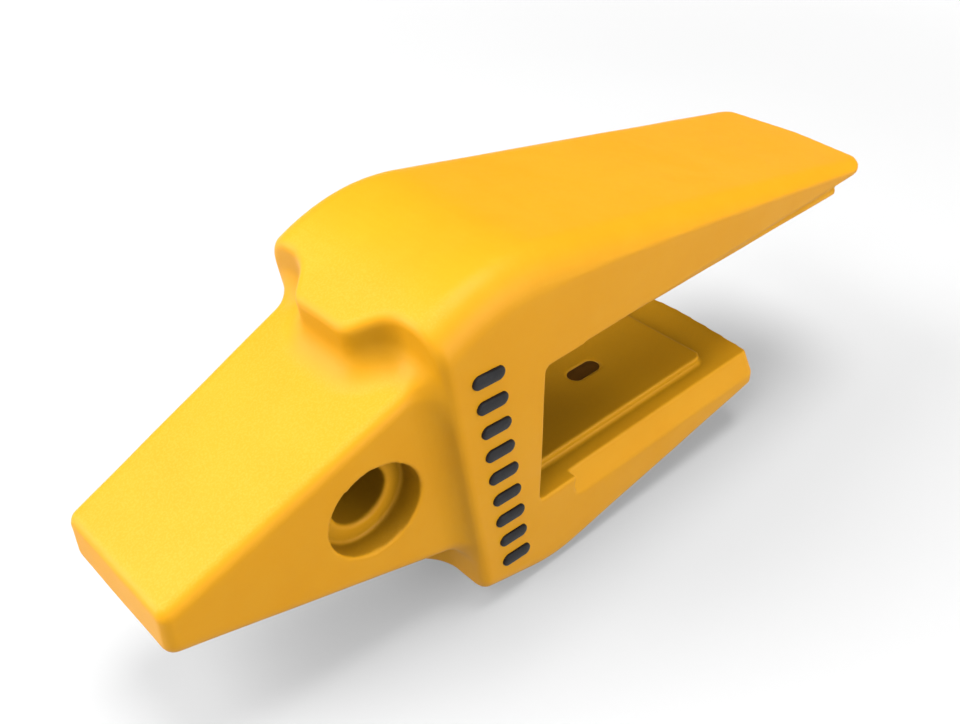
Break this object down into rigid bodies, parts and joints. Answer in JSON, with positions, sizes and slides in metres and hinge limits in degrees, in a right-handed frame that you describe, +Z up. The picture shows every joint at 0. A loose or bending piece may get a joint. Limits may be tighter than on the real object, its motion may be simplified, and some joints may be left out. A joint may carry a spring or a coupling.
{
  "type": "two-strap lip adapter",
  "caption": "Cast two-strap lip adapter: wedge nose with a cross pin bore for a digging tooth point, stepped shoulders, and a long upper and short lower strap that clasp a bucket lip.",
  "frame": {"origin": "centre of the pin bore, on the middle plane", "axes": "+X along the adapter towards the strap ends, +Y across it along the pin bore, +Z up, square to the lip faces"},
  "size_m": [0.3983, 0.1036, 0.1622],
  "materials": {
    "body_paint": "satin yellow paint over a cast surface",
    "mark_paint": "satin black paint on raised cast marks"
  },
  "bodies": {
    "root": {"adapter_casting": "body_paint", "side_marks": "mark_paint", "size_mark": "mark_paint"}
  },
  "joints": []
}
